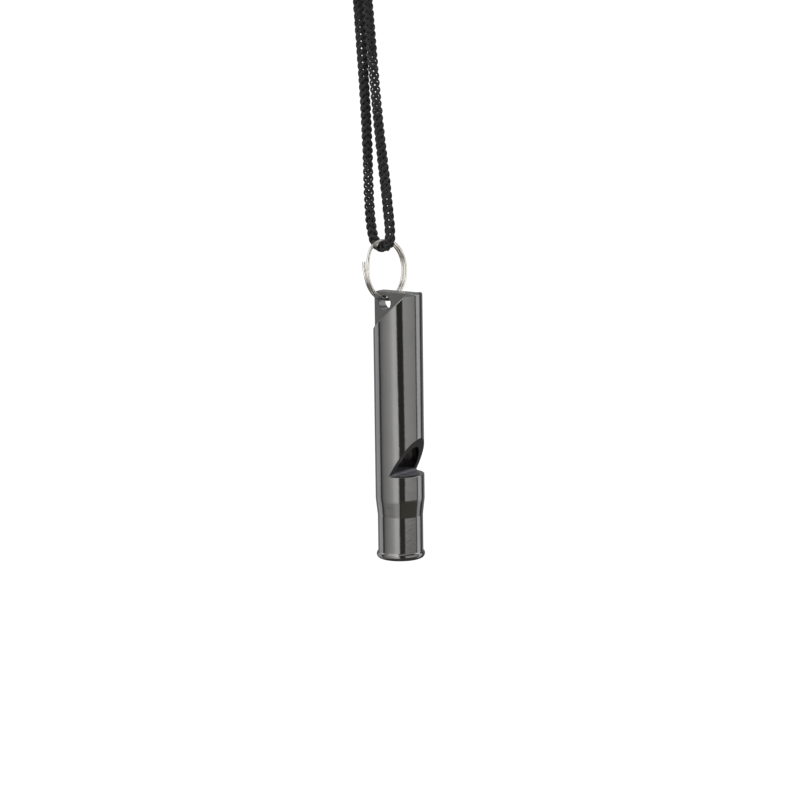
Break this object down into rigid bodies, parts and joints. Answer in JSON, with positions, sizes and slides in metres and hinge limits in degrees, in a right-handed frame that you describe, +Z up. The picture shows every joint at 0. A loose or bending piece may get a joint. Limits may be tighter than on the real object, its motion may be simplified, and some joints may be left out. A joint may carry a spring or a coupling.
{
  "type": "signal whistle",
  "caption": "Slim metal signal whistle with an angled sound window and a hollow-ground tab, hanging from a split ring on a taut braided neck cord.",
  "frame": {"origin": "middle of the knot that the taut neck cord hangs by", "axes": "+Z up along the taut cord; the split ring hangs in the Y-Z plane; +X is the side that the whistle's sound window faces, within its 4 degree yaw; the whistle's barrel hangs down -Z, leaning 5 degrees"},
  "size_m": [0.014, 0.0122, 0.1283],
  "materials": {
    "black_nickel": "brass, machined and plated in polished black nickel",
    "bright_nickel": "bright nickel plated spring wire",
    "cord_black": "matt braided polyester"
  },
  "bodies": {
    "lanyard": {"lanyard_cord": "cord_black", "lanyard_knot": "cord_black"},
    "ring": {"split_ring": "bright_nickel"},
    "whistle": {"whistle_body": "black_nickel", "fipple_plug": "black_nickel"}
  },
  "joints": [
    {"name": "ring_swing", "type": "hinge", "parent": "lanyard", "child": "ring", "pos_m": [0, 0, -0.0554], "axis": [1, 0, 0], "range_deg": [-75, 75]},
    {"name": "whistle_swing", "type": "hinge", "parent": "ring", "child": "whistle", "pos_m": [0, 0, -0.06532], "axis": [-0.0767, 0.9971, 0], "range_deg": [-100, 130]}
  ]
}
